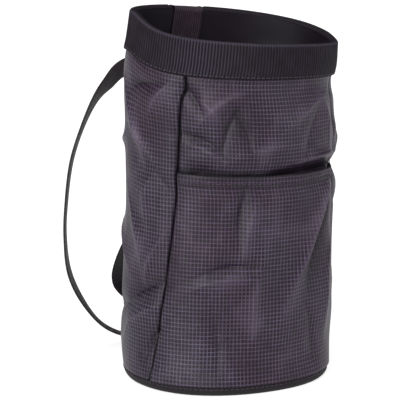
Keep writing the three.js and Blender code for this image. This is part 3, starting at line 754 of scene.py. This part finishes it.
def makeRim():
    top, low = form["height"], form["height"] - form["bandHeight"]
    out, under, inner = rim["outset"], rim["under"], rim["inside"]
    profile = [
        (low, under, 0), (low, out - 0.5, 0), *arc(low + 0.5, out - 0.5, 0.5, -90, 0, 3),
        *arc(top - 0.7, out - 0.7, 0.7, 0, 80, 5),
        *arc(top - 1.9, inner + 0.8, 0.8, 80, 180, 5),
        (top - rim["insideLeg"], inner, 0), (top - rim["insideLeg"], inner + 0.4, 0),
        (top - 2.4, inner + 0.4, 0), (top - rim["wall"], under, 0), (low, under, 0),
    ]

    def tone(angle, along):
        fromTop = np.abs(along - form["bandHeight"] - 0.6)
        # painted highlight: the ribs are drawn lighter where the webbing bends, as if they caught more light
        # there
        bend = rim["bendLight"] * hump(nearFront(angle - math.radians(rim["bendAt"])), rim["bendReach"])
        bend = bend * (along < form["bandHeight"] - 1)
        ribs = 1.6 * ribShare(roundDistance(angle)) - 0.6
        # painted highlight along the top fold and painted shade along the lower edge, where the band meets
        # the cloth
        return rim["foldHighlight"] * hump(fromTop, 0.7) - rim["seamShade"] * hump(along - 1.5, 0.8) + bend * ribs

    ringPlace = placeRing(profile, mainRelief, tone)

    def place(s, t):
        points, flat, shade = ringPlace(s, t)
        rib = ribShare(flat[:, 0])
        middle = np.array([points[:, 0].mean(), points[:, 1].mean(), 0])
        outward = points - middle
        outward[:, 2] = 0
        outward /= np.linalg.norm(outward, axis=1)[:, None]
        onOutside = (t > rim["outside"][0]) & (t < rim["outside"][1])
        points = points + outward * (rib * rim["ribRelief"] * onOutside)[:, None]
        return points, flat, shade

    piece = layCloth("rim_webbing", rim["columns"], rim["rows"], place, joins=True)
    return dress(piece, rimWebbing, "rim_webbing", "rim_band")


# Strips of webbing that run up and down the bag, from the path of the face that looks at the bag
def placeStrip(path, strip):
    high, outset = np.array(path, float).T
    steps = np.hypot(np.diff(high), np.diff(outset))
    distance = running(steps)

    def place(s, t):
        # round the section: the near face, an edge, the far face and the other edge
        along = s * distance[-1]
        reach = 0.4
        ahead, behind = np.minimum(along + reach, distance[-1]), np.maximum(along - reach, 0)
        rise = np.interp(ahead, distance, high) - np.interp(behind, distance, high)
        out = np.interp(ahead, distance, outset) - np.interp(behind, distance, outset)
        length = np.maximum(np.hypot(rise, out), 1e-9)
        turn = t * 2 * math.pi
        across, through = superOval(turn, strip["width"] / 2, strip["wall"] / 2)
        depth = through + strip["wall"] / 2
        up = (np.interp(along, distance, high) + depth * out / length) / form["height"]
        push = np.interp(along, distance, outset) - depth * rise / length
        angle = math.radians(strip["angle"]) + across / form["halfDepth"]
        points = bagPoint(angle, up, push)
        flat = np.stack([across, along], axis=1)
        return points, flat, np.zeros_like(s)
    return place


# a flat band's rounded section
def superOval(turn, halfWidth, halfWall):
    across = halfWidth * np.sign(np.cos(turn)) * np.abs(np.cos(turn)) ** 0.25
    through = halfWall * np.sign(np.sin(turn)) * np.abs(np.sin(turn)) ** 0.5
    return across, through


def rounded(path, radius, steps=5):
    result = [path[0]]
    for before, corner, after in zip(path, path[1:], path[2:]):
        corner = Vector(corner)
        inDirection, outDirection = Vector(before) - corner, Vector(after) - corner
        reach = min(radius, inDirection.length / 2, outDirection.length / 2)
        start, end = corner + inDirection.normalized() * reach, corner + outDirection.normalized() * reach
        for i in range(steps + 1):
            k = i / steps
            result.append(tuple(start * (1 - k) ** 2 + corner * 2 * k * (1 - k) + end * k ** 2))
    return result + [path[-1]]


belt = {
    "width": 15,
    "wall": 1.4,
    "belowRim": 31.9,
    "clear": 1.1,
    "play": 1.4,
    "hoopHalfWidth": 90,
    "hoopBack": 74,
    "backAngles": (160, 175, 190, 203),
    "perSpan": 14,
    "around": 28,
}
beltHigh = form["height"] - belt["belowRim"]
beltLeft = asColumns(("out", "high", "back", "twist"), [
    (-0.42, 0.997, 0.02, 0.12), (-0.58, 0.98, 0.08, 0.29),
    (-0.678, 0.93, 0.3, 0.42), (-0.755, 0.88, 0.55, 0.575),
    (-0.84, 0.794, 0.8, 0.67), (-0.931, 0.668, 0.97, 0.7),
    (-0.982, 0.511, 1, 0.73), (-0.994, 0.407, 1, 0.745),
    (-0.966, 0.28, 1, 0.735), (-0.865, 0.174, 1, 0.8),
    (-0.7, 0.078, 1, 0.93), (-0.5, 0.03, 1, 1.03),
    (-0.25, 0.011, 1, 1), (0.02, 0.011, 1, 1),
])
beltRight = asColumns(("out", "high", "back", "twist"), [
    (0.76, 0.07, 1, 1), (0.9, 0.165, 1, 1),
    (0.98, 0.3, 1, 1), (1, 0.44, 1, 1),
    (0.965, 0.6, 1, 1), (0.88, 0.75, 0.85, 0.85),
    (0.78, 0.87, 0.55, 0.6), (0.66, 0.95, 0.25, 0.3),
    (0.5, 0.99, 0.04, 0.1),
])

strap = {
    "width": 21,
    "wall": 1.2,
    "angle": 192.5,
    "press": 2.3,  # mm that it draws the mouth's edge down
    "pressReach": (0.13, 0.22),  # radians beside its middle
    "pressFrom": 0.95,
    "inner": -3.3,  # how far inside the bag's face it lies in the mouth
    "inside": 42,
    "sewn": 13,
    "step": 6,
    "columns": 220,
    "around": 32,
}


def strapBelow():
    return beltHigh - form["mouthRiseY"] * form["halfDepth"] - belt["width"] / 2 - belt["play"]


def strapPath():
    top = form["height"]
    below = strapBelow()
    inner, outer = strap["inner"], belt["clear"] + belt["wall"] + belt["play"]
    return rounded([
        (top - strap["inside"], inner), (top + 0.3, inner), (top + 0.3, outer), (below, outer),
        (below - strap["step"], 0.3), (below - strap["step"] - strap["sewn"], 0.3),
    ], 2.2)


def makeStrap():
    place = placeStrip(strapPath(), strap)
    piece = layCloth("back_tab", strap["columns"], strap["around"], place, joins=True, capped=True)
    return dress(piece, strapWebbing, "strap_webbing", "back_strap")


loop = {
    "width": 20,
    "wall": 1.2,
    "angle": 229,
    "standOff": 10.4,
    "top": 90,
    "bottom": 46,
    "columns": 120,
    "around": 32,
}
loopBow = asColumns(("down", "off"), [
    (-0.14, 0), (0, 0),
    (0.16, 0.3), (0.36, 0.68),
    (0.56, 0.95), (0.7, 1),
    (0.83, 0.82), (0.93, 0.4),
    (1, 0), (1.14, 0),
])


def makeLoop():
    down = np.linspace(loopBow["down"][0], loopBow["down"][-1], 90)
    off = np.maximum(tableValue(loopBow, "off", down, "down"), 0)
    high = loop["top"] - down * (loop["top"] - loop["bottom"])
    out = form["pieceGap"] + off * (loop["standOff"] - loop["wall"] - form["pieceGap"])
    place = placeStrip(list(zip(high, out)), loop)
    piece = layCloth("side_loop_webbing", loop["columns"], loop["around"], place, joins=True, capped=True)
    return dress(piece, strapWebbing, "strap_webbing", "side_loop")


buckle = {
    "length": 34,
    "width": 22,
    "height": 8,
    "centre": 38,
    "straight": 4,
    "cell": 1,
    "slotAt": 14,  # middle of each webbing slot, from the buckle's middle
    "slotReach": 8.5,
    "windowReach": 9,
    "armInner": 5.5,  # the windows lie between the arms and the spine
    "armOuter": 8.5,
    "crown": 1.6,
    "cornerCut": 0.965,
    "bevel": 0.45,
}


def beltRoute():
    backShare = np.array([(beltHigh - form["mouthRiseY"] * form["halfDepth"]) / form["height"]])
    middle = belt["clear"] + belt["wall"] / 2
    backY = bagPoint(np.array([math.pi]), backShare, middle)[0, 1]
    lift = buckle["height"] / 2 + form["pieceGap"]

    def beside(end, away):
        return (buckle["centre"] + end * (buckle["length"] / 2 + away), belt["hoopBack"], lift, 1)

    def spread(table):
        return [
            (out * belt["hoopHalfWidth"], backY + (belt["hoopBack"] - backY) * back, high * beltHigh, twist)
            for out, high, back, twist in zip(*table.values())
        ]

    onBack = []
    for turn in belt["backAngles"]:
        point = bagPoint(np.array([math.radians(turn)]), backShare, middle)[0]
        onBack.append((point[0], point[1], beltHigh, 0))
    return np.array([
        beside(1, form["pieceGap"]), beside(1, buckle["straight"]), *spread(beltRight), *onBack,
        *spread(beltLeft), beside(-1, buckle["straight"]), beside(-1, form["pieceGap"]),
    ])


# centripetal curve through the route's points, with as many steps in every span
def throughPoints(points, perSpan):
    ends = [2 * points[0] - points[1], *points, 2 * points[-1] - points[-2]]
    result = []
    for a, b, c, d in zip(ends, ends[1:], ends[2:], ends[3:]):
        gaps = [max(np.linalg.norm((q - p)[:3]) ** 0.5, 1e-4) for p, q in ((a, b), (b, c), (c, d))]
        tangentB = (b - a) / gaps[0] - (c - a) / (gaps[0] + gaps[1]) + (c - b) / gaps[1]
        tangentC = (c - b) / gaps[1] - (d - b) / (gaps[1] + gaps[2]) + (d - c) / gaps[2]
        for i in range(perSpan):
            k = i / perSpan
            past = 3 * k ** 2 - 2 * k ** 3
            leave, arrive = k ** 3 - 2 * k ** 2 + k, k ** 3 - k ** 2
            result.append((1 - past) * b + past * c + gaps[1] * (leave * tangentB + arrive * tangentC))
    return np.array(result + [points[-1]])


def makeBelt():
    route = throughPoints(beltRoute(), belt["perSpan"])
    points, twist = route[:, :3], np.radians(90 * route[:, 3])
    ahead = np.gradient(points, axis=0)
    ahead /= np.linalg.norm(ahead, axis=1)[:, None]
    upright = np.cross(ahead, [0, 1, 0])
    upright /= np.linalg.norm(upright, axis=1)[:, None]
    level = np.cross(upright, ahead)
    across = upright * np.cos(twist)[:, None] + level * np.sin(twist)[:, None]
    through = np.cross(ahead, across)
    distance = running(np.linalg.norm(np.diff(points, axis=0), axis=1))
    print("belt without buckle, mm:", round(distance[-1], 1))

    def place(s, t):
        index = np.round(s * (len(points) - 1)).astype(int)
        wide, thick = superOval(t * 2 * math.pi, belt["width"] / 2, belt["wall"] / 2)
        made = points[index] + across[index] * wide[:, None] + through[index] * thick[:, None]
        return made, np.stack([wide, distance[index]], axis=1), np.zeros_like(s)

    piece = layCloth("waist_belt", len(points) - 1, belt["around"], place, joins=True, capped=True)
    return dress(piece, beltWebbing, "belt_webbing", "belt")


# Side-release buckle in one plain piece: a frame with a webbing slot and bar at each end, and a middle
# window in which the two sprung arms lie
def makeBuckle():
    length, width, height = buckle["length"], buckle["width"], buckle["height"]
    cell = buckle["cell"]
    columns, rows = round(length / cell), round(width / cell)
    bm = bmesh.new()
    bmesh.ops.create_grid(bm, x_segments=columns, y_segments=rows, size=0.5)
    bmesh.ops.scale(bm, vec=(length * mm, width * mm, 1), verts=bm.verts)
    openings = []
    for face in bm.faces:
        x, y, _ = face.calc_center_median() / mm
        inSlot = abs(abs(x) - buckle["slotAt"]) < cell / 2 and abs(y) < buckle["slotReach"]
        inWindow = abs(x) < buckle["windowReach"] and buckle["armInner"] < abs(y) < buckle["armOuter"]
        if inSlot or inWindow:
            openings.append(face)
    bmesh.ops.delete(bm, geom=openings, context="FACES")
    for vertex in bm.verts:
        if abs(vertex.co.x) > 0.495 * length * mm and abs(vertex.co.y) > 0.495 * width * mm:
            vertex.co.xy *= buckle["cornerCut"]
    top = bmesh.ops.extrude_face_region(bm, geom=bm.faces[:])
    lifted = [item for item in top["geom"] if isinstance(item, bmesh.types.BMVert)]
    bmesh.ops.translate(bm, vec=(0, 0, height * mm), verts=lifted)
    bmesh.ops.recalc_face_normals(bm, faces=bm.faces)
    # the face is crowned along its length and thinner at both ends, as a moulded buckle is
    for vertex in bm.verts:
        share = abs(vertex.co.x) / (length / 2 * mm)
        side = 1 if vertex.co.z > height / 2 * mm else -1
        vertex.co.z -= side * buckle["crown"] * share ** 2 * mm
    sharp = [e for e in bm.edges if e.calc_face_angle(0) > math.radians(50)]
    bmesh.ops.bevel(bm, geom=sharp, offset=buckle["bevel"] * mm, segments=3, profile=0.5, affect="EDGES",
                    material=-1)
    place = Vector((buckle["centre"], belt["hoopBack"], form["pieceGap"])) * mm
    bmesh.ops.translate(bm, vec=place, verts=bm.verts)
    for face in bm.faces:
        face.smooth = True
    piece = finishMesh("belt_buckle", bm)
    normals = piece.modifiers.new("corners", "WEIGHTED_NORMAL")
    normals.keep_sharp = False
    return dress(piece, acetal, "buckle_plastic", "buckle")


# Rows of lock stitches, each stitch a small plump ellipsoid that lies along its seam
stitch = {
    "length": 2.5,
    "gap": 0.9,
    "thick": 0.62,
    "proud": 0.1,  # mm that a row lies off its cloth
    "inset": 1.5,  # mm from a strip's end
}


def sewRows(name, slotName, rows):
    long, thick = stitch["length"] / 2, stitch["thick"] / 2
    bm = bmesh.new()
    clothMap = bm.loops.layers.uv.new("cloth")
    toneLayer = bm.verts.layers.float.new("tone")
    for row in rows:
        distance = running(np.linalg.norm(np.diff(row, axis=0), axis=1))
        count = max(int(distance[-1] / (stitch["length"] + stitch["gap"])), 1)
        for i in range(count):
            middle = (i + 0.5) * distance[-1] / count
            ends = []
            for away in (middle - long, middle + long):
                ends.append(Vector([np.interp(away, distance, row[:, axis]) for axis in range(3)]))
            turn = (ends[1] - ends[0]).to_track_quat("Z", "X").to_matrix().to_4x4()
            size = Matrix.Diagonal((thick * mm, thick * mm, long * mm, 1))
            matrix = Matrix.Translation((ends[0] + ends[1]) / 2 * mm) @ turn @ size
            bmesh.ops.create_uvsphere(bm, u_segments=8, v_segments=6, radius=1, matrix=matrix)
    for face in bm.faces:
        face.smooth = True
        for loop in face.loops:
            loop[clothMap].uv = (loop.vert.co.x / mm, loop.vert.co.z / mm)
    for vertex in bm.verts:
        vertex[toneLayer] = 0
    return dress(finishMesh(name, bm), sewingThread, slotName)


def seamPoints(angles, highs, outset):
    angles, highs = np.broadcast_arrays(angles, highs)
    return bagPoint(angles, highs / form["height"], outset + stitch["proud"])


def fromTo(start, end):
    return np.linspace(start, end, 20)


def makeStitches():
    around = np.linspace(-math.pi, math.pi, 720)
    inset = stitch["inset"]
    bandSeam = form["height"] - form["bandHeight"] + 1.7
    sewRows("rim_stitches", "rim_webbing", [seamPoints(around, bandSeam, rim["outset"])])

    # pocket hem, stitched a little above its fold
    hemUp = form["mouthShare"] - (pocket["hem"] - 1.6) / form["height"]
    across = np.linspace(leftSeam(hemUp) + 0.05, rightSeam(hemUp) - 0.05, 200)
    hem = seamPoints(across, hemUp * form["height"], pocketOutset(across, hemUp))
    sewRows("pocket_stitches", "ripstop_front", [hem])

    # turned-up edge of the bottom cloth
    sewRows("base_stitches", "base_cloth", [seamPoints(around, form["bottomTurnUp"] - 1.3, 0.05)])

    # box and cross that hold the strap below the belt, and two rows on the tab inside the mouth
    centre = math.radians(strap["angle"])
    half = (strap["width"] / 2 - 2) / form["halfDepth"]
    below = strapBelow() - strap["step"]
    high, low = below - inset, below - strap["sewn"] + inset
    left, right = centre - half, centre + half
    corners = [(left, high), (right, high), (right, low), (left, low), (left, high), (right, low)]
    corners += [(right, high), (left, low)]
    rows = []
    for (a, p), (b, q) in zip(corners, corners[1:]):
        rows.append(seamPoints(fromTo(a, b), fromTo(p, q), form["pieceGap"] + strap["wall"]))
    sewRows("strap_stitches", "strap_webbing", rows)
    tabEnd = form["height"] - strap["inside"]
    inner = strap["inner"] - strap["wall"] - 2 * stitch["proud"]
    rows = [seamPoints(fromTo(left, right), tabEnd + above, inner) for above in (2.5, 5.5)]
    sewRows("tab_stitches", "strap_webbing", rows)

    # bar tacks over both ends of the side loop
    rows = []
    middle, reach = math.radians(loop["angle"]), (loop["width"] / 2 - inset) / form["halfDepth"]
    tall = loop["top"] - loop["bottom"]
    for start in (loop["top"] + 0.1 * tall, loop["bottom"] - 0.06 * tall):
        for drop in (0, 1.2, 2.4):
            rows.append(seamPoints(fromTo(middle - reach, middle + reach), start - drop,
                                   form["pieceGap"] + loop["wall"]))
    sewRows("loop_stitches", "strap_webbing", rows)

    # two rows across each end of the belt, beside the buckle
    rows = []
    level = form["pieceGap"] + buckle["height"] / 2 + belt["wall"] / 2 + stitch["proud"]
    side = belt["width"] / 2 - inset
    for end in (-1, 1):
        for away in (2.2, 3.6):
            x = buckle["centre"] + end * (buckle["length"] / 2 + away)
            rows.append(np.array([(x, belt["hoopBack"] - side, level), (x, belt["hoopBack"] + side, level)]))
    sewRows("belt_stitches", "belt_webbing", rows)


makeFront()
makeSides()
makePocket()
print("cloth panels laid")
makeBase()
makeLining()
makeRim()
print("base, lining and rim made")
makeStrap()
makeLoop()
makeBelt()
makeBuckle()
makeStitches()
print("webbing, buckle and stitches made")

# Studio: a large soft light overhead, a strong one to the left of the camera and a weak one at its right,
# over a pale floor that glows so that it stays white in the shadow
studio = {
    "floor": 10,  # m across
    "turn": -22,  # degrees, as the camera
    "ambient": 0.05,
    "overhead": 1.5,
    "left": 7.5,
    "right": 2.4,
}


def makeStudio():
    bm = bmesh.new()
    bmesh.ops.create_grid(bm, x_segments=2, y_segments=2, size=studio["floor"] / 2)
    floor = finishMesh("studio_floor", bm)
    material, tree = newMaterial("paleFloor")
    shader = addNode(tree, "BsdfPrincipled", {
        "Base Color": "#a0a0a0", "Roughness": 0.9, "Emission Color": "#ffffff", "Emission Strength": 0.75})
    addNode(tree, "OutputMaterial", {"Surface": shader})
    floor.data.materials.append(material)

    world = bpy.data.worlds.new("studio")
    world.use_nodes = True
    tree = world.node_tree
    tree.nodes.clear()
    direction = addNode(tree, "TexCoord").outputs["Generated"]
    turn = math.radians(studio["turn"])
    rightward = Vector((math.cos(turn), math.sin(turn), 0))
    forward = Vector((-math.sin(turn), math.cos(turn), 0))
    above = Vector((0, 0, 1))
    brightness = studio["ambient"]
    lamps = (
        ("overhead", above - 0.25 * forward, 0.4, 0.85),
        ("left", -0.6 * rightward - 1.1 * forward + 0.35 * above, 0.86, 0.98),
        ("right", rightward - 0.35 * forward + 0.3 * above, 0.86, 0.98),
    )
    for key, axis, edge, full in lamps:
        toward = addNode(tree, "VectorMath", {0: direction, 1: axis.normalized()}, operation="DOT_PRODUCT")
        lamp = addNode(tree, "MapRange", {
            "Value": toward, "From Min": edge, "From Max": full, "To Min": 0, "To Max": studio[key]},
            interpolation_type="SMOOTHSTEP")
        brightness = addNode(tree, "Math", {0: lamp, 1: brightness}, operation="ADD")
    background = addNode(tree, "Background", {"Color": "#ffffff", "Strength": brightness})
    addNode(tree, "OutputWorld", {"Surface": background})
    bpy.context.scene.world = world
    bpy.context.scene.view_settings.view_transform = "Standard"


def makeCamera():
    turn, pitch = math.radians(-22), math.radians(13.3)
    away, height, focalPixels, axisPixel, picture = 1.3, 0.424, 1988, 224.8, 400
    camera = bpy.data.objects.new("camera", bpy.data.cameras.new("camera"))
    camera.location = (math.sin(turn) * away, -math.cos(turn) * away, height)
    camera.rotation_euler = (math.radians(90) - pitch, 0, turn)
    camera.data.sensor_width = 36
    camera.data.lens = focalPixels / picture * 36
    camera.data.shift_x = -(axisPixel - picture / 2) / picture
    bpy.context.collection.objects.link(camera)
    bpy.context.scene.camera = camera


makeStudio()
makeCamera()
print("studio and camera set")
